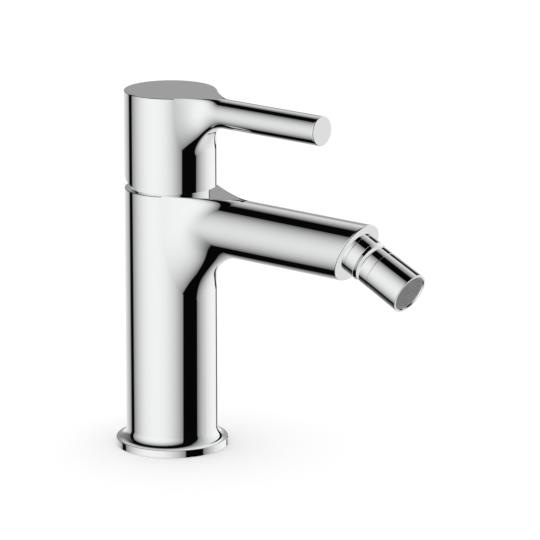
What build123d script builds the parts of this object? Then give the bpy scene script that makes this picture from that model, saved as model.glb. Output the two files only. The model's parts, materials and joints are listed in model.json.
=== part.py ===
# Single-lever bidet mixer with a swivelling aerator, in millimetres.
# The column stands on the deck at z = 0, the spout and the lever point along +X and +Z is up.

import os
from math import acos, asin, atan2, cos, degrees, hypot, radians, sin, sqrt, tan

from build123d import *

os.makedirs("parts", exist_ok=True)

# Column and foot
column_radius = 21.0
column_wall = 3.5
foot_radius = 25.8
foot_thickness = 3.4
foot_ledge = 0.3
body_height = 120.9
edge_break = 0.4
hollow_height = 62.0

# Base seal under the foot
seal_outer_radius = 23.6
seal_width = 3.4
seal_thickness = 1.8
seal_play = 0.05

# Spout
spout_radius = 13.35
spout_drop = 0.1
spout_reach = 108.95
spout_cut_angle = 25.2
spout_blend = 22.0
spout_wall = 5.15
spout_bore_stop = 7.6

# Waterways in the casting
inlet_thread_radius = 4.5
thread_depth = 13.0
inlet_angle = 55.0
port_inset = 7.25
port_radius = 2.6
outlet_port_back = 6.4
mixed_port_radius = 2.8
mixed_way_depth = 10.0
mixed_way_wall = 1.9
stud_thread_radius = 3.4
stud_inset = 6.0

# Cartridge, from the seat upwards
chamber_wall = 3.45
bore_clearance = 0.15
cartridge_wall = 2.1
seat_depth = 28.6
base_rim_thickness = 1.7
base_thickness = 3.5
base_fit = 0.05
port_seal_width = 1.25
port_seal_depth = 1.1
disc_seal_depth = 0.9
seal_web = 1.2
peg_radius = 1.4
peg_length = 2.2
peg_inset = 5.4
peg_play = 0.05
fixed_disc_gap = 0.1
disc_thickness = 2.8
disc_film = 0.05
moving_disc_inset = 4.5
mixing_pocket_depth = 1.5
mixing_pocket_length = 16.0
mixing_pocket_width = 12.0
mixing_pocket_back = 5.2
carrier_overlap = 0.4
carrier_plate = 3.4
carrier_block_height = 2.2
carrier_block_inset = 2.2
carrier_block_width = 11.6
block_corner = 0.8
rotor_gap = 0.2
rotor_flange_gap = 0.5
rotor_flange_thickness = 2.8
rotor_stem_radius = 11.4
rotor_cheek_width = 2.6
rotor_cheek_inset = 4.8
rotor_rise = 1.5
slot_front = 9.8
slot_back = 6.0
slot_side_gap = 0.3
housing_roof = 2.3
housing_neck_wall = 2.0
housing_neck_height = 15.6
shaft_clearance = 0.08

# Retaining nut
nut_wall = 3.05
nut_rise = 5.1
nut_clearance = 0.1
thread_clearance = 0.05
nut_slot_width = 3.0
nut_slot_depth = 2.0
nut_slot_count = 4

# Spindle and pivot
pivot_height = 4.6
pivot_radius = 1.5
pivot_clearance = 0.05
pin_inset = 0.3
spindle_width = 7.8
spindle_corner = 0.8
spindle_top_rise = 24.0
spindle_foot_drop = 6.0
spindle_arm_radius = 2.2
spindle_ball_radius = 2.6
ball_socket_clearance = 0.25
ball_floor_gap = 0.2
socket_floor = 1.0
lift_angle = 20.0

# Handle
handle_gap = 1.1
handle_height = 43.8
handle_skirt = 1.6
handle_wall = 3.5
handle_roof = 5.8
skirt_height = 15.0
boss_radius = 9.0
socket_clearance = 0.05
relief_angle = 19.0
relief_setback = 1.5
lever_radius = 6.7
lever_drop = 0.1
lever_reach = 89.0
lever_blend = 11.5
lever_edge = 0.5

# Grub screw and its cover at the back of the handle
grub_radius = 2.4
grub_length = 4.6
grub_drop = 7.0
grub_hex_width = 2.5
grub_hex_depth = 2.4
cover_radius = 3.6
cover_depth = 2.2
cover_dome = 0.3
cover_play = 0.05

# Swivel joint in the end of the spout, measured along its tilted axis
swivel_offset = 0.35
socket_radius = 8.6
socket_depth = 7.0
socket_fit = 0.1
swivel_radius = 9.75
socket_flange = 1.7
spigot_radius = 8.7
spigot_length = 2.9
seam_chamfer = 0.15
recess_depth = 0.95
recess_width = 0.95
socket_ring_radius = 0.45
collar_length = 6.5
collar_chamfer = 0.95
collar_line_depth = 0.15
collar_line_width = 0.2
collar_mouth_radius = 5.6
swivel_bore_radius = 5.0
ball_radius = 7.6
ball_advance = 2.4
ball_clearance = 0.1
ball_bore_radius = 2.6
seat_ring_back = 4.4
seat_ring_length = 3.4
seat_fit = 0.1
seal_ring_radius = 0.7
seal_ring_film = 0.02
seal_recess_length = 1.45
neck_radius = 4.2
swivel_gap = 1.3

# Aerator
cap_radius = 9.35
cap_length = 5.6
cap_chamfer = 0.8
cap_roof = 1.6
outlet_radius = 9.6
outlet_wall = 0.95
outlet_edge = 0.3
housing_length = 17.4
aerator_thread_radius = 8.35
aerator_thread_fit = 0.1
aerator_bore_radius = 7.5
aerator_bore_length = 4.9
gasket_thickness = 1.2
gasket_bore_radius = 6.2
outlet_recess = 0.7
insert_fit = 0.1
screen_thickness = 0.9
screen_pitch = 1.12
screen_hole = 0.66
screen_rim = 0.7
core_wall = 1.2
core_hub_radius = 2.0
core_rib = 1.0
core_rib_count = 6
filter_plate = 0.8
filter_cup_radius = 6.2
filter_cup_height = 2.6
filter_wall = 0.7
filter_hole_radius = 0.9
filter_hole_circle = 3.4
filter_hole_count = 6

# Working allowances of the model itself
overrun = 1.0
radius_match = 0.01

# Heights that follow from the driving sizes
spout_height = body_height - spout_drop - spout_radius
tall_height = body_height + spout_radius + spout_blend
seat_height = body_height - seat_depth
handle_base = body_height + handle_gap
handle_top = handle_base + handle_height
lever_height = handle_top - lever_drop - lever_radius
pivot_z = body_height + pivot_height
foot_blend = foot_radius - column_radius - foot_ledge

base_top = seat_height + base_thickness
fixed_disc_top = base_top + disc_thickness
moving_disc_bottom = fixed_disc_top + disc_film
carrier_bottom = moving_disc_bottom + disc_thickness
carrier_plate_top = carrier_bottom + carrier_plate
carrier_top = carrier_plate_top + carrier_block_height
rotor_bottom = carrier_top + rotor_gap
rotor_flange_top = rotor_bottom + rotor_flange_thickness
housing_roof_bottom = rotor_flange_top + rotor_gap
shoulder_height = housing_roof_bottom + housing_roof
neck_top = shoulder_height + housing_neck_height
rotor_top = neck_top + rotor_rise
nut_top = body_height + nut_rise
skirt_top = handle_base + skirt_height
spindle_top = pivot_z + spindle_top_rise
grub_height = spindle_top - grub_drop

# Radii and travels that follow from them
chamber_radius = column_radius - chamber_wall
cartridge_radius = chamber_radius - bore_clearance
cartridge_inner = cartridge_radius - cartridge_wall
port_circle_radius = cartridge_inner - port_inset
fixed_disc_radius = cartridge_inner - fixed_disc_gap
moving_disc_radius = cartridge_inner - moving_disc_inset
carrier_radius = moving_disc_radius + carrier_overlap
rotor_flange_radius = cartridge_inner - rotor_flange_gap
nut_bore_radius = column_radius - nut_wall
nut_radius = nut_bore_radius - thread_clearance
neck_bore_radius = rotor_stem_radius + shaft_clearance
neck_radius_outer = neck_bore_radius + housing_neck_wall
spindle_ball_height = carrier_bottom + socket_floor + ball_floor_gap + spindle_ball_radius
spindle_arm = pivot_z - spindle_ball_height
disc_travel = spindle_arm * sin(radians(lift_angle))
disc_rest_x = -disc_travel / 2
pin_half_length = rotor_stem_radius - pin_inset
shank_radius = socket_radius - socket_fit
pocket_radius = ball_radius + ball_clearance
spigot_end = socket_flange + spigot_length
collar_end = socket_flange + collar_length
cap_start = collar_end + swivel_gap
cap_end = cap_start + cap_length
outlet_end = cap_end + housing_length
thread_start = cap_start + cap_roof + gasket_thickness
insert_start = cap_end + aerator_bore_length
insert_radius = outlet_radius - outlet_wall - insert_fit
screen_start = outlet_end - outlet_recess - screen_thickness

# Frame of the spout's oblique end: local Y runs out of the spout along the swivel axis
cut = radians(spout_cut_angle)
axis_dir = Vector(cos(cut), 0, -sin(cut))
rise_dir = Vector(sin(cut), 0, cos(cut))
end_point = Vector(spout_reach, 0, spout_height)
swivel_point = end_point + rise_dir * swivel_offset
swivel_profile = Plane(origin=swivel_point, x_dir=rise_dir, z_dir=(0, 1, 0))
swivel_axis = Axis(swivel_point, axis_dir)
ball_centre = swivel_point + axis_dir * ball_advance


def swivel_plane(distance):
    """Plane across the swivel axis, its normal pointing out of the spout."""
    return Plane(origin=swivel_point + axis_dir * distance, x_dir=(0, 1, 0), z_dir=axis_dir)


def ring(plane, outer, inner, height, mode=Mode.ADD):
    """Adds or cuts a ring that stands on a plane."""
    with BuildSketch(plane) as profile:
        Circle(outer)
        if inner:
            Circle(inner, mode=Mode.SUBTRACT)
    extrude(profile.sketch, amount=height, mode=mode)


def bore(plane, points, radius, depth):
    """Cuts round holes along a plane's normal."""
    with BuildSketch(plane) as profile:
        with Locations(*points):
            Circle(radius)
    extrude(profile.sketch, amount=depth, mode=Mode.SUBTRACT)


def rims(builder, radius):
    """Circular edges of one radius, the ones furthest out of the spout last."""
    circles = builder.edges().filter_by(GeomType.CIRCLE)
    return circles.filter_by(lambda edge: abs(edge.radius - radius) < radius_match).sort_by(swivel_axis)


def junction(builder):
    """The closed curve where the horizontal cylinder enters the vertical one."""
    return builder.edges().filter_by(lambda edge: edge.geom_type not in (GeomType.CIRCLE, GeomType.LINE))


def seal_web_shape(height, depth, play, mode=Mode.ADD):
    """The three-ring cartridge seal with its webs, or the groove for it."""
    with BuildSketch(Plane.XY.offset(height)) as profile:
        with BuildLine():
            Polyline(*port_points, close=True)
        trace(line_width=seal_web + 2 * play)
        with Locations(*port_points):
            Circle(port_radius + port_seal_width + play)
            Circle(port_radius, mode=Mode.SUBTRACT)
    extrude(profile.sketch, amount=depth, mode=mode)


def finish(builder, label):
    """Names a piece and writes it."""
    builder.part.label = label
    export_step(builder.part, f"parts/{label}.step")


inlet_forward = port_circle_radius * cos(radians(inlet_angle))
inlet_side = port_circle_radius * sin(radians(inlet_angle))
inlet_points = [(inlet_forward, -inlet_side), (inlet_forward, inlet_side)]
port_points = [*inlet_points, (-outlet_port_back, 0)]
peg_side = cartridge_radius - peg_inset
peg_points = [(0, -peg_side), (0, peg_side)]
stud_back = column_radius - column_wall - stud_inset

# Casting: foot, column and spout in one, blended all round and cut flat on top
way_centre_x = column_radius + spout_blend
way_centre_z = spout_height - spout_radius - spout_blend
way_radius = spout_blend + mixed_way_wall + mixed_port_radius
way_link_z = seat_height - mixed_way_depth
way_link_x = way_centre_x - sqrt(way_radius**2 - (way_link_z - way_centre_z) ** 2)
way_turn = 90 - degrees(atan2(way_link_z - way_centre_z, way_centre_x - way_link_x))
spout_bore_radius = spout_radius - spout_wall
spout_bore_start = way_centre_x - spout_bore_radius

with BuildPart() as body:
    with BuildSketch(Plane.XZ):
        with BuildLine():
            FilletPolyline(
                (column_radius, tall_height),
                (column_radius, foot_thickness),
                (foot_radius, foot_thickness),
                radius=foot_blend,
            )
            Polyline(
                (foot_radius, foot_thickness),
                (foot_radius, 0),
                (0, 0),
                (0, tall_height),
                (column_radius, tall_height),
            )
        make_face()
    revolve(axis=Axis.Z)
    with BuildSketch(Plane.YZ):
        with Locations((0, spout_height)):
            Circle(spout_radius)
    extrude(amount=spout_reach + spout_radius)
    fillet(junction(body), radius=spout_blend)
    split(bisect_by=Plane.XY.offset(body_height), keep=Keep.BOTTOM)
    split(bisect_by=Plane(origin=end_point, z_dir=axis_dir), keep=Keep.BOTTOM)
    fillet(body.faces().sort_by(Axis.Z)[-1].edges(), radius=edge_break)
    fillet(body.faces().sort_by(Axis.X)[-1].edges(), radius=edge_break)
    fillet(rims(body, foot_radius).sort_by(Axis.Z)[-1], radius=edge_break)

    # Hollow column, the groove for the base seal, and the cartridge chamber below the nut's thread
    ring(Plane.XY, column_radius - column_wall, 0, hollow_height, Mode.SUBTRACT)
    ring(
        Plane.XY,
        seal_outer_radius + seal_play,
        seal_outer_radius - seal_width - seal_play,
        seal_thickness,
        Mode.SUBTRACT,
    )
    ring(Plane.XY.offset(seat_height), chamber_radius, 0, seat_depth, Mode.SUBTRACT)
    ring(
        Plane.XY.offset(shoulder_height),
        nut_bore_radius,
        0,
        body_height - shoulder_height,
        Mode.SUBTRACT,
    )

    # Inlet threads and ports, the stud thread and the holes for the cartridge's pegs
    inlet_plane = Plane.XY.offset(hollow_height)
    bore(inlet_plane, inlet_points, inlet_thread_radius, thread_depth)
    bore(inlet_plane, inlet_points, port_radius, seat_height - hollow_height)
    bore(inlet_plane, [(-stud_back, 0)], stud_thread_radius, thread_depth)
    bore(Plane.XY.offset(seat_height - peg_length), peg_points, peg_radius + peg_play, peg_length)

    # Mixed water: down from the seat, forward under it, round the blend and out through the spout
    bore(Plane.XY.offset(way_link_z), [(-outlet_port_back, 0)], mixed_port_radius, mixed_way_depth)
    bore(
        Plane.YZ.offset(-outlet_port_back),
        [(0, way_link_z)],
        mixed_port_radius,
        way_link_x + outlet_port_back,
    )
    with Locations((-outlet_port_back, 0, way_link_z), (way_link_x, 0, way_link_z)):
        Sphere(mixed_port_radius, mode=Mode.SUBTRACT)
    with BuildLine(Plane.XZ) as way_line:
        way = CenterArc((way_centre_x, way_centre_z), way_radius, 90, way_turn)
    with BuildSketch(Plane(origin=way @ 0, z_dir=way % 0)):
        Circle(mixed_port_radius)
    sweep(path=way_line.line, mode=Mode.SUBTRACT)
    bore(
        Plane.YZ.offset(spout_bore_start),
        [(0, spout_height)],
        spout_bore_radius,
        spout_reach - spout_bore_stop - spout_bore_start,
    )

    # Threaded socket for the swivel joint and the recess for its ring, square to the oblique end
    ring(swivel_plane(-socket_depth), socket_radius, 0, socket_depth, Mode.SUBTRACT)
    ring(swivel_plane(-recess_depth), shank_radius + recess_width, 0, recess_depth, Mode.SUBTRACT)
finish(body, "body")

with BuildPart() as base_seal:
    ring(Plane.XY, seal_outer_radius, seal_outer_radius - seal_width, seal_thickness)
finish(base_seal, "base_seal")

# Cartridge base with its three ports, grooves for the seals below and above, and two pegs
with BuildPart() as cartridge_base:
    ring(Plane.XY.offset(seat_height), cartridge_radius, 0, base_rim_thickness)
    ring(Plane.XY.offset(seat_height), cartridge_inner - base_fit, 0, base_thickness)
    bore(Plane.XY.offset(seat_height), port_points, port_radius, base_thickness)
    seal_web_shape(seat_height, port_seal_depth, seal_play, Mode.SUBTRACT)
    seal_web_shape(base_top - disc_seal_depth, disc_seal_depth, seal_play, Mode.SUBTRACT)
    with BuildSketch(Plane.XY.offset(seat_height)):
        with Locations(*peg_points):
            Circle(peg_radius)
    extrude(amount=-peg_length)
finish(cartridge_base, "cartridge_base")

with BuildPart() as port_seal:
    seal_web_shape(seat_height, port_seal_depth, 0)
finish(port_seal, "port_seal")

with BuildPart() as disc_seal:
    seal_web_shape(base_top - disc_seal_depth, disc_seal_depth, 0)
finish(disc_seal, "disc_seal")

with BuildPart() as fixed_disc:
    ring(Plane.XY.offset(base_top), fixed_disc_radius, 0, disc_thickness)
    bore(Plane.XY.offset(base_top), port_points, port_radius, disc_thickness)
finish(fixed_disc, "fixed_disc")

# The moving disc joins the ports through a pocket in its underside when it slides forward
with BuildPart() as moving_disc:
    with BuildSketch(Plane.XY.offset(moving_disc_bottom)):
        with Locations((disc_rest_x, 0)):
            Circle(moving_disc_radius)
    extrude(amount=disc_thickness)
    with BuildSketch(Plane.XY.offset(moving_disc_bottom)):
        with Locations((-mixing_pocket_back, 0)):
            Ellipse(mixing_pocket_length / 2, mixing_pocket_width / 2)
    extrude(amount=mixing_pocket_depth, mode=Mode.SUBTRACT)
finish(moving_disc, "moving_disc")

with BuildPart() as disc_carrier:
    with BuildSketch(Plane.XY.offset(carrier_bottom)):
        with Locations((disc_rest_x, 0)):
            Circle(carrier_radius)
    extrude(amount=carrier_plate)
    with BuildSketch(Plane.XY.offset(carrier_plate_top)):
        with Locations((disc_rest_x, 0)):
            RectangleRounded(2 * (carrier_radius - carrier_block_inset), carrier_block_width, block_corner)
    extrude(amount=carrier_block_height)
    bore(
        Plane.XY.offset(carrier_bottom + socket_floor),
        [(0, 0)],
        spindle_ball_radius + ball_socket_clearance,
        carrier_plate + carrier_block_height - socket_floor,
    )
finish(disc_carrier, "disc_carrier")

# Rotor: flange with two cheeks that guide the carrier, a slotted stem and the pivot hole
with BuildPart() as rotor:
    ring(Plane.XY.offset(rotor_bottom), rotor_flange_radius, 0, rotor_flange_thickness)
    ring(Plane.XY.offset(rotor_flange_top), rotor_stem_radius, 0, rotor_top - rotor_flange_top)
    with BuildSketch(Plane.XY.offset(carrier_plate_top + rotor_gap)):
        with GridLocations(0, carrier_block_width + 2 * rotor_gap + rotor_cheek_width, 1, 2):
            Rectangle(2 * (rotor_flange_radius - rotor_cheek_inset), rotor_cheek_width)
    extrude(amount=carrier_block_height)
    with BuildSketch(Plane.XY.offset(rotor_bottom)):
        with Locations(((slot_front - slot_back) / 2, 0)):
            Rectangle(slot_front + slot_back, spindle_width + 2 * slot_side_gap)
    extrude(amount=rotor_top - rotor_bottom, mode=Mode.SUBTRACT)
    bore(Plane.XZ.offset(-rotor_stem_radius), [(0, pivot_z)], pivot_radius, 2 * rotor_stem_radius)
finish(rotor, "rotor")

with BuildPart() as pivot_pin:
    with BuildSketch(Plane.XZ.offset(-pin_half_length)):
        with Locations((0, pivot_z)):
            Circle(pivot_radius)
    extrude(amount=2 * pin_half_length)
    chamfer(pivot_pin.edges().filter_by(GeomType.CIRCLE), length=pin_inset)
finish(pivot_pin, "pivot_pin")

# Cartridge housing: skirt round the discs, roof, and the neck that the rotor turns in
with BuildPart() as cartridge_housing:
    with BuildSketch(Plane.XZ):
        with BuildLine():
            Polyline(
                (cartridge_inner, seat_height + base_rim_thickness),
                (cartridge_radius, seat_height + base_rim_thickness),
                (cartridge_radius, shoulder_height),
                (neck_radius_outer, shoulder_height),
                (neck_radius_outer, neck_top),
                (neck_bore_radius, neck_top),
                (neck_bore_radius, housing_roof_bottom),
                (cartridge_inner, housing_roof_bottom),
                close=True,
            )
        make_face()
    revolve(axis=Axis.Z)
    chamfer(rims(cartridge_housing, neck_radius_outer).sort_by(Axis.Z)[-1], length=edge_break)
finish(cartridge_housing, "cartridge_housing")

# Retaining nut: its threaded half fills the mouth of the casting, its collar stands above it
with BuildPart() as retaining_nut:
    ring(
        Plane.XY.offset(shoulder_height),
        nut_radius,
        neck_radius_outer + nut_clearance,
        nut_top - shoulder_height,
    )
    with BuildSketch(Plane.XY.offset(nut_top - nut_slot_depth)):
        with PolarLocations(nut_radius, nut_slot_count):
            Rectangle(nut_radius, nut_slot_width)
    extrude(amount=nut_slot_depth, mode=Mode.SUBTRACT)
finish(retaining_nut, "retaining_nut")

# Spindle: square top in the handle, arm and ball below the pivot
with BuildPart() as spindle:
    with BuildSketch(Plane.XY.offset(pivot_z - spindle_foot_drop)):
        RectangleRounded(spindle_width, spindle_width, spindle_corner)
    extrude(amount=spindle_foot_drop + spindle_top_rise)
    chamfer(spindle.faces().sort_by(Axis.Z)[-1].edges(), length=edge_break)
    ring(
        Plane.XY.offset(spindle_ball_height),
        spindle_arm_radius,
        0,
        spindle_arm - spindle_foot_drop,
    )
    with Locations((0, 0, spindle_ball_height)):
        Sphere(spindle_ball_radius)
    bore(Plane.XZ.offset(-spindle_width), [(0, pivot_z)], pivot_radius + pivot_clearance, 2 * spindle_width)
finish(spindle, "spindle")

# Handle: head and lever blended like the casting below, hollow, with a boss for the spindle
with BuildPart() as handle:
    ring(Plane.XY.offset(handle_base), column_radius, 0, handle_height + lever_radius + lever_blend)
    with BuildSketch(Plane.YZ):
        with Locations((0, lever_height)):
            Circle(lever_radius)
    extrude(amount=lever_reach)
    fillet(junction(handle), radius=lever_blend)
    split(bisect_by=Plane.XY.offset(handle_top), keep=Keep.BOTTOM)
    fillet(handle.faces().sort_by(Axis.X)[-1].edges(), radius=lever_edge)
    fillet(handle.faces().sort_by(Axis.Z)[-1].edges(), radius=edge_break)

    # Relief that clears the casting at the back when the lever is lifted
    with BuildSketch(Plane.XZ.offset(-foot_radius)):
        with BuildLine():
            Polyline(
                (-relief_setback, handle_base),
                (-relief_setback - foot_radius, handle_base + foot_radius * tan(radians(relief_angle))),
                (-relief_setback - foot_radius, handle_base - overrun),
                (-relief_setback, handle_base - overrun),
                close=True,
            )
        make_face()
    extrude(amount=2 * foot_radius, mode=Mode.SUBTRACT)

    # Skirt over the nut, the core above it round the boss, and the spindle's square socket
    ring(Plane.XY.offset(handle_base), column_radius - handle_skirt, 0, skirt_height, Mode.SUBTRACT)
    ring(
        Plane.XY.offset(skirt_top),
        column_radius - handle_wall,
        boss_radius,
        handle_height - skirt_height - handle_roof,
        Mode.SUBTRACT,
    )
    with BuildSketch(Plane.XY.offset(skirt_top)):
        Rectangle(spindle_width + 2 * socket_clearance, spindle_width + 2 * socket_clearance)
    extrude(amount=spindle_top + socket_clearance - skirt_top, mode=Mode.SUBTRACT)

    # Grub screw thread through the boss and its stepped way in from the back
    grub_plane = Plane.YZ.offset(-column_radius - overrun)
    bore(grub_plane, [(0, grub_height)], grub_radius, column_radius + overrun)
    bore(grub_plane, [(0, grub_height)], cover_radius, cover_depth + overrun)
finish(handle, "handle")

with BuildPart() as grub_screw:
    with BuildSketch(Plane.YZ.offset(-spindle_width / 2 - grub_length)):
        with Locations((0, grub_height)):
            Circle(grub_radius)
    extrude(amount=grub_length)
    with BuildSketch(Plane.YZ.offset(-spindle_width / 2 - grub_length)):
        with Locations((0, grub_height)):
            RegularPolygon(grub_hex_width / 2, 6, major_radius=False)
    extrude(amount=grub_hex_depth, mode=Mode.SUBTRACT)
finish(grub_screw, "grub_screw")

# Cover over the grub screw, its face following the head
with BuildPart() as screw_cover:
    ring(Plane.XY.offset(grub_height - cover_radius), column_radius + cover_dome, 0, 2 * cover_radius)
    with BuildSketch(Plane.YZ.offset(-column_radius + cover_depth)):
        with Locations((0, grub_height)):
            Circle(cover_radius - cover_play)
    extrude(amount=-cover_depth - overrun, mode=Mode.INTERSECT)
finish(screw_cover, "screw_cover")

# Swivel socket: threaded shank in the spout, flange outside it and a pocket for the ball
with BuildPart() as swivel_socket:
    ring(swivel_plane(-socket_depth), shank_radius, 0, socket_depth)
    ring(swivel_plane(0), swivel_radius, 0, socket_flange)
    chamfer(rims(swivel_socket, swivel_radius)[-1], length=seam_chamfer)
    ring(swivel_plane(socket_flange), spigot_radius, 0, spigot_length)
    ring(swivel_plane(-socket_depth), swivel_bore_radius, 0, socket_depth, Mode.SUBTRACT)
    pocket_floor = seat_ring_back + seat_fit
    ring(swivel_plane(-pocket_floor), pocket_radius, 0, pocket_floor + spigot_end, Mode.SUBTRACT)
finish(swivel_socket, "swivel_socket")

with BuildPart() as socket_ring:
    with BuildSketch(swivel_profile):
        with Locations((shank_radius + recess_width / 2, -recess_depth / 2)):
            Circle(socket_ring_radius)
    revolve(axis=swivel_axis)
finish(socket_ring, "socket_ring")

# Collar that screws over the socket's spigot and holds the ball
with BuildPart() as swivel_collar:
    seal_recess_end = spigot_end + seal_recess_length
    seat_start = degrees(asin((seal_recess_end - ball_advance) / pocket_radius))
    seat_stop = degrees(acos(collar_mouth_radius / pocket_radius))
    with BuildSketch(swivel_profile):
        with BuildLine():
            seat = CenterArc((0, ball_advance), pocket_radius, seat_start, seat_stop - seat_start)
            Polyline(
                seat @ 1,
                (collar_mouth_radius, collar_end),
                (swivel_radius, collar_end),
                (swivel_radius, socket_flange),
                (spigot_radius + aerator_thread_fit, socket_flange),
                (spigot_radius + aerator_thread_fit, spigot_end),
                (spigot_radius, spigot_end),
                (spigot_radius, seal_recess_end),
                seat @ 0,
            )
        make_face()
    revolve(axis=swivel_axis)
    chamfer(rims(swivel_collar, swivel_radius)[0], length=seam_chamfer)
    chamfer(rims(swivel_collar, swivel_radius)[-1], length=collar_chamfer)
    ring(
        swivel_plane(collar_end - collar_chamfer - 2 * collar_line_width),
        swivel_radius + overrun,
        swivel_radius - collar_line_depth,
        collar_line_width,
        Mode.SUBTRACT,
    )
finish(swivel_collar, "swivel_collar")

with BuildPart() as ball_ring:
    ring_reach = ball_radius + seal_ring_radius + seal_ring_film
    ring_along = spigot_end + seal_ring_radius - ball_advance
    with BuildSketch(swivel_profile):
        with Locations((sqrt(ring_reach**2 - ring_along**2), ball_advance + ring_along)):
            Circle(seal_ring_radius)
    revolve(axis=swivel_axis)
finish(ball_ring, "ball_ring")

# Seat ring behind the ball, which turns with it
with BuildPart() as ball_seat:
    ring(swivel_plane(-seat_ring_back), pocket_radius - seat_fit, swivel_bore_radius, seat_ring_length)
    with Locations(ball_centre):
        Sphere(ball_radius + seat_fit / 2, mode=Mode.SUBTRACT)
finish(ball_seat, "ball_seat")

# Ball, neck and aerator cap in one piece, bored through
with BuildPart() as swivel_ball:
    ball_back = -degrees(acos(ball_bore_radius / ball_radius))
    ball_front = degrees(acos(neck_radius / ball_radius))
    with BuildSketch(swivel_profile):
        with BuildLine():
            ball = CenterArc((0, ball_advance), ball_radius, ball_back, ball_front - ball_back)
            Polyline(
                ball @ 1,
                (neck_radius, cap_start),
                (cap_radius, cap_start),
                (cap_radius, cap_end),
                (aerator_thread_radius, cap_end),
                (aerator_thread_radius, cap_start + cap_roof),
                (ball_bore_radius, cap_start + cap_roof),
                ball @ 0,
            )
        make_face()
    revolve(axis=swivel_axis)
    chamfer(rims(swivel_ball, cap_radius)[0], length=cap_chamfer)
    chamfer(rims(swivel_ball, cap_radius)[-1], length=seam_chamfer)
finish(swivel_ball, "swivel_ball")

with BuildPart() as aerator_gasket:
    ring(
        swivel_plane(cap_start + cap_roof),
        aerator_thread_radius - aerator_thread_fit,
        gasket_bore_radius,
        gasket_thickness,
    )
finish(aerator_gasket, "aerator_gasket")

# Aerator housing: threaded into the cap, flaring slightly to the outlet
with BuildPart() as aerator_housing:
    with BuildSketch(swivel_profile):
        with BuildLine():
            Polyline(
                (aerator_bore_radius, thread_start),
                (aerator_thread_radius - aerator_thread_fit, thread_start),
                (aerator_thread_radius - aerator_thread_fit, cap_end),
                (cap_radius, cap_end),
                (outlet_radius, outlet_end),
                (outlet_radius - outlet_wall, outlet_end),
                (outlet_radius - outlet_wall, insert_start),
                (aerator_bore_radius, insert_start),
                close=True,
            )
        make_face()
    revolve(axis=swivel_axis)
    chamfer(rims(aerator_housing, cap_radius)[0], length=seam_chamfer)
    fillet(rims(aerator_housing, outlet_radius)[-1], radius=outlet_edge)
finish(aerator_housing, "aerator_housing")

# Filter: a pierced cup that faces the flow, on a flange against the housing's step
with BuildPart() as aerator_filter:
    ring(swivel_plane(insert_start), insert_radius, 0, filter_plate)
    cup_start = insert_start + filter_plate - filter_cup_height
    ring(swivel_plane(cup_start), filter_cup_radius, 0, filter_cup_height)
    ring(
        swivel_plane(cup_start + filter_wall),
        filter_cup_radius - filter_wall,
        0,
        filter_cup_height - filter_wall,
        Mode.SUBTRACT,
    )
    with BuildSketch(swivel_plane(cup_start)):
        Circle(filter_hole_radius)
        with PolarLocations(filter_hole_circle, filter_hole_count):
            Circle(filter_hole_radius)
    extrude(amount=filter_wall, mode=Mode.SUBTRACT)
finish(aerator_filter, "aerator_filter")

# Core: a ribbed tube between the filter and the outlet screen
with BuildPart() as aerator_core:
    core_start = insert_start + filter_plate
    with BuildSketch(swivel_plane(core_start)):
        Circle(insert_radius)
        Circle(insert_radius - core_wall, mode=Mode.SUBTRACT)
        Circle(core_hub_radius)
        with PolarLocations(insert_radius / 2, core_rib_count):
            Rectangle(insert_radius - core_wall, core_rib)
    extrude(amount=screen_start - core_start)
finish(aerator_core, "aerator_core")

# Outlet screen: square holes on a square pitch inside a plain rim
reach = insert_radius - screen_rim - screen_hole * sqrt(2) / 2
steps = range(-int(reach / screen_pitch), int(reach / screen_pitch) + 1)
screen_points = [
    (row * screen_pitch, column * screen_pitch)
    for row in steps
    for column in steps
    if hypot(row * screen_pitch, column * screen_pitch) < reach
]
with BuildPart() as aerator_screen:
    with BuildSketch(swivel_plane(screen_start)):
        Circle(insert_radius)
        with Locations(*screen_points):
            Rectangle(screen_hole, screen_hole, mode=Mode.SUBTRACT)
    extrude(amount=screen_thickness)
finish(aerator_screen, "aerator_screen")
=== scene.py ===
import json
import math

import bmesh
import bpy
import numpy as np
from mathutils import Matrix, Vector

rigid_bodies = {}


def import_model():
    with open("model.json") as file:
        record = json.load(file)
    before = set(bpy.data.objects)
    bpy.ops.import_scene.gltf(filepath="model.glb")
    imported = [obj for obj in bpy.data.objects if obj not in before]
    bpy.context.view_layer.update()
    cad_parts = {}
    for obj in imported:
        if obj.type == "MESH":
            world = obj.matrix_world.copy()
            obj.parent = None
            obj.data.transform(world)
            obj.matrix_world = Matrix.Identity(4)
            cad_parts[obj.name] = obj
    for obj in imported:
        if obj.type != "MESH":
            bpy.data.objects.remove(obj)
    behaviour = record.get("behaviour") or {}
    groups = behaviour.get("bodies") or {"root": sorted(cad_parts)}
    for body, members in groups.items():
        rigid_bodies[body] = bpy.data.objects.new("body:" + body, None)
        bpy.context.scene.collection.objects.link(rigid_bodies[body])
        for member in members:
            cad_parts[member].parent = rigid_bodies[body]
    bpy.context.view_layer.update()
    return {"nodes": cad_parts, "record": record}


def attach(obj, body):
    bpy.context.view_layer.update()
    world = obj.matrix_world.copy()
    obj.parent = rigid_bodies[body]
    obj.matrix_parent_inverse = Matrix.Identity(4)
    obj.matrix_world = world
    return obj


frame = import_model()
scene = bpy.context.scene
scene.view_settings.view_transform = "Standard"
nodes = frame["nodes"]


# Camera: 1.8 m away, a little above, looking half along the spout
CAMERA_AZIMUTH = math.radians(40.32)
CAMERA_ELEVATION = math.radians(14.31)
CAMERA_DISTANCE = 1.8091
CAMERA_LENS, CAMERA_SENSOR = 264.44, 36
CLIP_NEAR, CLIP_FAR = 0.05, 20
TARGET_ACROSS = 0.04502
TARGET_HEIGHT = 0.08175

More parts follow.
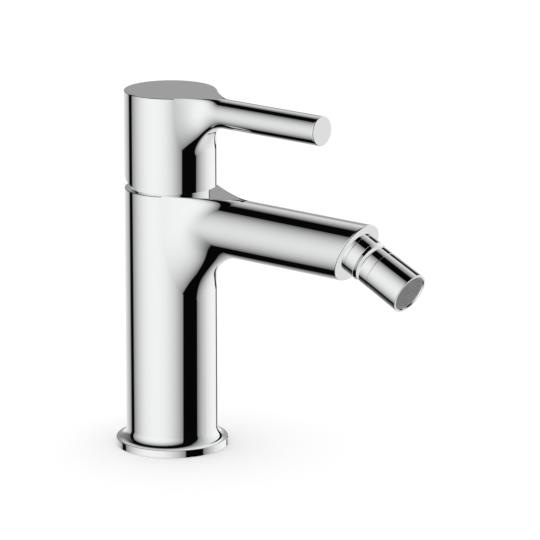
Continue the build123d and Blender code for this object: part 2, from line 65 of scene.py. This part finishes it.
across = Vector((math.cos(CAMERA_AZIMUTH), math.sin(CAMERA_AZIMUTH), 0))
back = Vector((
    math.sin(CAMERA_AZIMUTH) * math.cos(CAMERA_ELEVATION),
    -math.cos(CAMERA_AZIMUTH) * math.cos(CAMERA_ELEVATION),
    math.sin(CAMERA_ELEVATION),
))
camera = bpy.data.objects.new("camera", bpy.data.cameras.new("camera"))
scene.collection.objects.link(camera)
camera.data.lens = CAMERA_LENS
camera.data.sensor_width = CAMERA_SENSOR
camera.data.clip_start, camera.data.clip_end = CLIP_NEAR, CLIP_FAR
up = back.cross(across)
target = across * TARGET_ACROSS + Vector((0, 0, TARGET_HEIGHT))
camera.matrix_world = (
    Matrix.Translation(target + back * CAMERA_DISTANCE)
    @ Matrix((across, up, back)).transposed().to_4x4()
)
scene.camera = camera


class Graph:
    """Short names for making a shader's nodes."""

    def __init__(self, tree):
        self.tree = tree
        tree.nodes.clear()

    def add(self, kind, inputs=(), **settings):
        node = self.tree.nodes.new(kind)
        for name, value in settings.items():
            setattr(node, name, value)
        for socket, value in dict(inputs).items():
            self.set(node.inputs[socket], value)
        return node

    def set(self, socket, value):
        if isinstance(value, bpy.types.NodeSocket):
            self.tree.links.new(value, socket)
        else:
            socket.default_value = value

    def math(self, operation, first, second=0.0, third=0.0, clamp=False):
        inputs = {0: first, 1: second, 2: third}
        return self.add("ShaderNodeMath", inputs, operation=operation, use_clamp=clamp).outputs[0]

    def span(self, value, low, high, out_low, out_high):
        inputs = {0: value, 1: low, 2: high, 3: out_low, 4: out_high}
        return self.add("ShaderNodeMapRange", inputs, interpolation_type="SMOOTHSTEP").outputs[0]

    def noise(self, scale, detail=2.0):
        place = self.add("ShaderNodeTexCoord").outputs["Object"]
        inputs = {"Vector": place, "Scale": scale, "Detail": detail}
        return self.add("ShaderNodeTexNoise", inputs).outputs[0]

    def mix(self, share, first, second):
        """A mix of two colours; its sockets go by number because other kinds have the same names."""
        inputs = {0: share, 6: first, 7: second}
        return self.add("ShaderNodeMix", inputs, data_type="RGBA").outputs[2]

    def show(self, kind, inputs, output="ShaderNodeOutputMaterial"):
        """The shader that is seen, joined to the output."""
        shader = self.add(kind, inputs)
        self.add(output, {"Surface": shader.outputs[0]})


# Studio: two large softboxes along the object, left and right of it, and a paler card behind it.
# Metal mirrors them and the dark gaps between them; everything else sees plain white all round.
# Angles are degrees round from +X and above the horizon. Lengths are in distances to the side.
# WHITE is what the camera and plain surfaces see, DARK the gaps; NEAREST keeps a division from zero.
WHITE = 1.12
DARK = 0.002
NEAREST = 0.001
# A softbox is brightest straight on and falls off by this much, with this power, away from there
FALL_OFF, FALL_POWER = 1.26, 1.3
# Half length and its soft edge, half height and its soft edge, brightness
LEFT_BOX = (2.65, 0.2, 3.4, 0.4, 0.96)
RIGHT_BOX = (3.05, 0.25, 3.9, 0.5, 0.97)
# Behind the object, past these distances, the right softbox dims with height and brightens again above.
# Each of the next two rows: from and to which height, as a sine, and the brightness that it adds there
BEHIND = (-0.3, -0.2)
LOW_DIMMING = (-0.2, 0.25, 1.0, 0.46)
HIGH_BRIGHTENING = (0.3, 0.5, 0.0, 0.72)
# A dark gap in the right softbox: azimuth, then half width and half height with their soft edges
GAP_AZIMUTH = 106
GAP_WIDTH = (5.5, 1.5)
GAP_HEIGHT = (40, 6)
# The rear card: azimuths of its brightest part and of its middle, widths, height, powers and brightness.
# It fades upwards: from and to which height, and the share that is left there
REAR_BRIGHT, REAR_SPREAD, REAR_POWER = 130, 72, 2
REAR_MIDDLE, REAR_HALF_WIDTH = 149, 37
REAR_FADE = (-8, 4, 1.0, 0.3)
REAR_HEIGHT, REAR_HEIGHT_POWER = 40, 3
REAR_BRIGHTNESS = 0.93

world = bpy.data.worlds.new("studio")
scene.world = world
world.use_nodes = True
world.cycles.sampling_method = "NONE"
sky = Graph(world.node_tree)
direction = sky.add("ShaderNodeTexCoord").outputs["Generated"]
split = sky.add("ShaderNodeSeparateXYZ", {0: direction}).outputs
height = sky.math("MULTIPLY", sky.math("ARCSINE", split[2]), 180 / math.pi)
steepness = sky.math("ABSOLUTE", height)
level = sky.add("ShaderNodeCombineXYZ", {0: split[0], 1: split[1], 2: 0.0}).outputs[0]
level = sky.add("ShaderNodeVectorMath", {0: level}, operation="NORMALIZE").outputs[0]


def off_centre(azimuth):
    """Degrees round from a compass direction."""
    centre = (math.cos(math.radians(azimuth)), math.sin(math.radians(azimuth)), 0)
    cosine = sky.add("ShaderNodeVectorMath", {0: level, 1: centre}, operation="DOT_PRODUCT").outputs["Value"]
    return sky.math("MULTIPLY", sky.math("ARCCOSINE", cosine), 180 / math.pi)


def fall(distance, width, power):
    """Brightness that falls from 1 at the centre to 0 at a width."""
    share = sky.math("POWER", sky.math("DIVIDE", distance, width), power)
    return sky.math("SUBTRACT", 1.0, share, clamp=True)


def edge(distance, half_width, softness=3.0):
    """1 inside a half width and 0 outside, with a soft edge."""
    over = sky.math("SUBTRACT", distance, half_width)
    return sky.span(over, -softness, softness, 1.0, 0.0)


def product(first, *others):
    for other in others:
        first = sky.math("MULTIPLY", first, other)
    return first


facing = sky.math("ABSOLUTE", split[1])
depth = sky.math("MAXIMUM", facing, NEAREST)
ahead = sky.math("DIVIDE", split[0], depth)
rise = sky.math("DIVIDE", sky.math("ABSOLUTE", split[2]), depth)
dimming = sky.math("POWER", sky.math("SUBTRACT", 1.0, facing, clamp=True), FALL_POWER)
softbox = sky.math("MULTIPLY_ADD", dimming, -FALL_OFF, 1.0, clamp=True)
is_left = sky.math("LESS_THAN", split[1], 0.0)
is_right = sky.math("GREATER_THAN", split[1], 0.0)


def box_light(side, distance, box, *others):
    """A softbox at one side; its edges are where it ends ahead, behind, above and below."""
    half_length, length_edge, half_height, height_edge, brightness = box
    lengthways = edge(distance, half_length, length_edge)
    upright = edge(rise, half_height, height_edge)
    return product(softbox, side, lengthways, upright, *others, brightness)


left = box_light(is_left, sky.math("ABSOLUTE", ahead), LEFT_BOX)

behind = sky.span(ahead, *BEHIND, 1.0, 0.0)
dimmer = sky.math("ADD", sky.span(split[2], *LOW_DIMMING), sky.span(split[2], *HIGH_BRIGHTENING))
dimmer = sky.math("MULTIPLY_ADD", sky.math("SUBTRACT", dimmer, 1.0), behind, 1.0)
gap = product(edge(off_centre(GAP_AZIMUTH), *GAP_WIDTH), edge(steepness, *GAP_HEIGHT))
right = product(box_light(is_right, ahead, RIGHT_BOX, dimmer), sky.math("SUBTRACT", 1.0, gap))

rear = product(
    fall(off_centre(REAR_BRIGHT), REAR_SPREAD, REAR_POWER),
    edge(off_centre(REAR_MIDDLE), REAR_HALF_WIDTH),
    sky.span(height, *REAR_FADE),
    fall(steepness, REAR_HEIGHT, REAR_HEIGHT_POWER),
    REAR_BRIGHTNESS,
)

glow = sky.math("MAXIMUM", sky.math("MAXIMUM", left, right), rear)
glow = sky.math("MAXIMUM", glow, DARK)
path = sky.add("ShaderNodeLightPath").outputs
reflected = sky.add("ShaderNodeCombineColor", {0: glow, 1: glow, 2: glow}).outputs[0]
colour = sky.mix(path["Is Glossy Ray"], (WHITE, WHITE, WHITE, 1.0), reflected)
sky.show("ShaderNodeBackground", {"Color": colour, "Strength": 1.0}, "ShaderNodeOutputWorld")


# Floor: plain and pale, with the object's soft shadow
FLOOR_HALF = 3
FLOOR_DROP = 0.0001
FLOOR_COLOUR = (0.98, 0.98, 0.98, 1)

floor_mesh = bpy.data.meshes.new("floor")
corners = [(x * FLOOR_HALF, y * FLOOR_HALF, 0) for x, y in ((-1, -1), (1, -1), (1, 1), (-1, 1))]
floor_mesh.from_pydata(corners, [], [(0, 1, 2, 3)])
floor = bpy.data.objects.new("floor", floor_mesh)
scene.collection.objects.link(floor)
floor.location.z = -FLOOR_DROP


def material(name):
    made = bpy.data.materials.new(name)
    made.use_nodes = True
    return made, Graph(made.node_tree)


pale, graph = material("floor")
graph.show("ShaderNodeBsdfDiffuse", {"Color": FLOOR_COLOUR})
floor_mesh.materials.append(pale)


# Noise: its detail and usual range, waves and polish to the metre, and how much coarser than the grain of a
# moulded surface its mottle and its gloss are
DETAIL = 3.0
NOISE_RANGE = (0.3, 0.7)
POLISH_SCALE, WAVE_SCALE = 60, 35
MOTTLE_COARSER, GLOSS_COARSER = 8, 3
WAVE_HEIGHT, GRAIN_HEIGHT = 0.0002, 0.0001
GLOSS_SPREAD = 0.06


def plated(name, colour, low, high, wave=0.0):
    """Polished plating: faint wandering polish in the gloss and, on request, a slight waviness."""
    made, graph = material(name)
    polish = graph.span(graph.noise(POLISH_SCALE, DETAIL), *NOISE_RANGE, low, high)
    inputs = {"Base Color": colour, "Metallic": 1.0, "Roughness": polish}
    if wave:
        waves = {"Strength": wave, "Distance": WAVE_HEIGHT, "Height": graph.noise(WAVE_SCALE)}
        inputs["Normal"] = graph.add("ShaderNodeBump", waves).outputs[0]
    graph.show("ShaderNodeBsdfPrincipled", inputs)
    return made


def moulded(name, colour, dark, roughness, scale, strength):
    """Moulded plastic or rubber: mottled tone and a fine grain."""
    made, graph = material(name)
    tone = graph.mix(graph.noise(scale / MOTTLE_COARSER, DETAIL), dark, colour)
    grain = {"Strength": strength, "Distance": GRAIN_HEIGHT, "Height": graph.noise(scale)}
    bump = graph.add("ShaderNodeBump", grain).outputs[0]
    dull, shiny = roughness + GLOSS_SPREAD, roughness - GLOSS_SPREAD
    gloss = graph.span(graph.noise(scale / GLOSS_COARSER), *NOISE_RANGE, shiny, dull)
    graph.show("ShaderNodeBsdfPrincipled", {"Base Color": tone, "Roughness": gloss, "Normal": bump})
    return made


# Plated: colour, lowest and highest roughness, waviness
CHROME = (0.93, 0.935, 0.94, 1)
PLATED = {
    "casting_chrome": (CHROME, 0.015, 0.04),
    "handle_chrome": (CHROME, 0.015, 0.04),
    "trim_chrome": (CHROME, 0.02, 0.05),
    "nut_chrome": ((0.88, 0.885, 0.89, 1), 0.08, 0.16),
    "spindle_brass": ((0.8, 0.6, 0.28, 1), 0.2, 0.34, 0.2),
    "steel": ((0.62, 0.62, 0.62, 1), 0.2, 0.34, 0.2),
    "cover_plastic": ((0.8, 0.805, 0.81, 1), 0.05, 0.1),
}
# Moulded: pale and dark colour, roughness, grains to the metre, depth of the grain
MOULDED = {
    "cartridge_plastic": ((0.86, 0.85, 0.81, 1), (0.8, 0.79, 0.75, 1), 0.4, 900, 0.1),
    "rotor_plastic": ((0.55, 0.56, 0.57, 1), (0.5, 0.51, 0.52, 1), 0.4, 900, 0.1),
    "ceramic": ((0.92, 0.9, 0.85, 1), (0.88, 0.86, 0.8, 1), 0.14, 1400, 0.02),
    "seal_rubber": ((0.035, 0.035, 0.038, 1), (0.02, 0.02, 0.022, 1), 0.55, 1600, 0.25),
    "seat_plastic": ((0.9, 0.9, 0.88, 1), (0.84, 0.84, 0.82, 1), 0.35, 900, 0.1),
    "screen_plastic": ((0.2, 0.202, 0.206, 1), (0.17, 0.172, 0.176, 1), 0.4, 2400, 0.15),
    # Painted shade: the insert is near-black instead of its own pale plastic, so that the aerator's holes
    # read dark as if in shade
    "insert_plastic": ((0.06, 0.061, 0.063, 1), (0.04, 0.041, 0.043, 1), 0.45, 900, 0.1),
}
finishes = {name: plated(name, *looks) for name, looks in PLATED.items()}
finishes.update({name: moulded(name, *looks) for name, looks in MOULDED.items()})
for part in frame["record"]["subparts"]:
    for slot in nodes[part["node"]].material_slots:
        slot.material = finishes[part["material_slot"]]


# Blends: where an arm leaves the column, the casting and the handle swell out more at the sides than below.
# Each is a closed piece let into its node: curves from the column to the arm, all round below its flat top.
COLUMN_RADIUS = 0.021
# Steps round the half of a blend, and along it
BLEND_ROUND, BLEND_ALONG = 144, 40
# How far a piece reaches into its node, and how far it stands proud of the node's flat top
BLEND_INSET = 0.0006
BLEND_PROUD = 0.000005
# A soft curve runs nearer the corner: the ball grows by this share, to cover the node's fillet all the same
SOFT_SHARE = 0.51
# The step from the arm's top up to the flat top stays within the last degrees of the section
SHOULDER_POWER = 30
# Roughly outward on the left half of a blend, to tell a normal's inside from its outside
OUTWARD = (1, 1, -0.2)
# Keeps the length of a normal from zero
SMALLEST = 1e-12


def bezier(start, first, last, end):
    """Points along cubic curves and the directions in which they run."""
    along = np.linspace(0, 1, BLEND_ALONG + 1)[:, None, None]
    left_over = 1 - along
    points = (
        left_over**3 * start
        + 3 * left_over**2 * along * first
        + 3 * left_over * along**2 * last
        + along**3 * end
    )
    runs = left_over**2 * (first - start) + 2 * left_over * along * (last - first) + along**2 * (end - last)
    return points, runs


def blend_half(height, radius, top, ball, widening, softness, power, tip, pulls):
    """One side of a blend, from top to bottom: its points, their normals and the points that close it.

    Below the arm's axis it is a ball's track between column and arm, wider beside the arm than under it.
    Above the axis the section grows from upright at the column to the arm's own round at the tip.
    """
    angle = np.linspace(math.pi / 2, -math.pi / 2, BLEND_ROUND + 1)
    sideways, up = np.abs(np.cos(angle)), np.sin(angle)
    none = 0 * angle
    upper = up >= 0
    level = np.where(upper, 0, up)
    beside = 1 - np.abs(level) ** power
    soft = softness * beside
    ball = ball * (1 + widening * beside) / (1 - SOFT_SHARE * soft)

    # Where the ball touches the column, and where the arm takes over
    across = (radius + ball) * np.sqrt(1 - level**2)
    ahead = np.sqrt((COLUMN_RADIUS + ball) ** 2 - across**2)
    turned = np.arctan2(across, ahead)
    outward = np.stack((np.cos(turned), np.sin(turned), none), 1)
    lift = np.where(upper, (top - height) * up, (radius + ball) * up)
    start = outward * COLUMN_RADIUS + np.stack((none, none, height + lift), 1)
    shoulder = (top - height - radius) * np.where(upper, up, 0) ** SHOULDER_POWER
    reach = np.where(upper, ahead + (tip - ahead) * up**2, ahead)
    end = np.stack((reach, radius * sideways, height + radius * up + shoulder), 1)

    # The curve between them leaves the column and meets the arm smoothly
    facing_arm = np.stack((none, np.sqrt(1 - level**2), level), 1)
    spread = np.arccos(np.sum(outward * facing_arm, 1))
    leaving = outward * np.cos(spread)[:, None] - facing_arm
    leaving /= np.linalg.norm(leaving, axis=1, keepdims=True)
    gap = np.linalg.norm(end - start, axis=1)
    pull = 4 / 3 * np.tan(spread / 4) / np.tan(spread / 2)
    pull = (pull + (1 - pull) * soft) / (2 * np.cos(spread / 2))
    steep = np.where(upper, up**2, 0)
    first_pull, last_pull = (gap * (pull + (wanted - pull) * steep) for wanted in pulls)
    first = start + leaving * first_pull[:, None]
    last = end - (1, 0, 0) * last_pull[:, None]
    points, runs = bezier(start, first, last, end)
    normals = np.cross(runs, np.gradient(points, axis=1))
    normals /= np.maximum(np.linalg.norm(normals, axis=2, keepdims=True), SMALLEST)
    normals *= np.sign(np.sum(normals * OUTWARD, 2, keepdims=True))

    # Back to the start inside the node: under the arm's skin, then under the column's
    inner = radius - BLEND_INSET
    inner_z = height + inner * up
    under_end = np.stack((end[:, 0], inner * sideways, inner_z), 1)
    root_x = np.sqrt((COLUMN_RADIUS - BLEND_INSET) ** 2 - under_end[:, 1] ** 2)
    root = np.stack((root_x, inner * sideways, inner_z), 1)
    under_start = start - outward * BLEND_INSET
    closing = np.stack((under_end, root, under_start))
    closing[:, 0, 2] = top
    return points, normals, closing


def add_blend(name, body, finish, top, **shape):
    points, normals, closing = blend_half(top=top + BLEND_PROUD, **shape)
    mirror = np.array((1, -1, 1))
    rings = np.concatenate((points, closing))
    rings = np.concatenate((rings, rings[:, -2::-1] * mirror), 1)
    normals = np.concatenate((normals, normals[:, -2::-1] * mirror), 1).reshape(-1, 3)
    rows, steps = rings.shape[:2]
    faces = [tuple(range(0, rows * steps, steps)), tuple(range(steps - 1, rows * steps, steps))]
    for row in range(rows):
        for step in range(steps - 1):
            here, there = row * steps + step, (row + 1) % rows * steps + step
            faces.append((here, here + 1, there + 1, there))
    mesh = bpy.data.meshes.new(name)
    mesh.from_pydata(rings.reshape(-1, 3).tolist(), [], faces)
    shaped = bmesh.new()
    shaped.from_mesh(mesh)
    bmesh.ops.recalc_face_normals(shaped, faces=shaped.faces)
    shaped.to_mesh(mesh)
    shaped.free()

    # The curved faces take the normals of the curves; the others stay flat
    corner_normals = []
    for polygon in mesh.polygons:
        polygon.use_smooth = len(polygon.vertices) == 4 and max(polygon.vertices) < len(points) * steps
        for vertex in polygon.vertices:
            corner_normals.append(normals[vertex] if polygon.use_smooth else polygon.normal)
    mesh.normals_split_custom_set(corner_normals)
    mesh.materials.append(finishes[finish])
    piece = bpy.data.objects.new(name, mesh)
    scene.collection.objects.link(piece)
    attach(piece, body)


add_blend(
    "handle_blend", "handle_unit", "handle_chrome",
    height=0.159, radius=0.0067, top=0.1658, ball=0.0118, widening=0.5, softness=0.6, power=4,
    tip=0.033, pulls=(0.35, 0.09),
)
add_blend(
    "spout_blend", "casting", "casting_chrome",
    height=0.10745, radius=0.01335, top=0.1209, ball=0.0223, widening=0.15, softness=0.55, power=3,
    tip=0.045, pulls=(0.36, 0.15),
)

# As in the photograph, the metal mirrors the studio and the nut under the handle, but no other piece
for piece in scene.objects:
    piece.visible_glossy = piece == nodes["retaining_nut"]
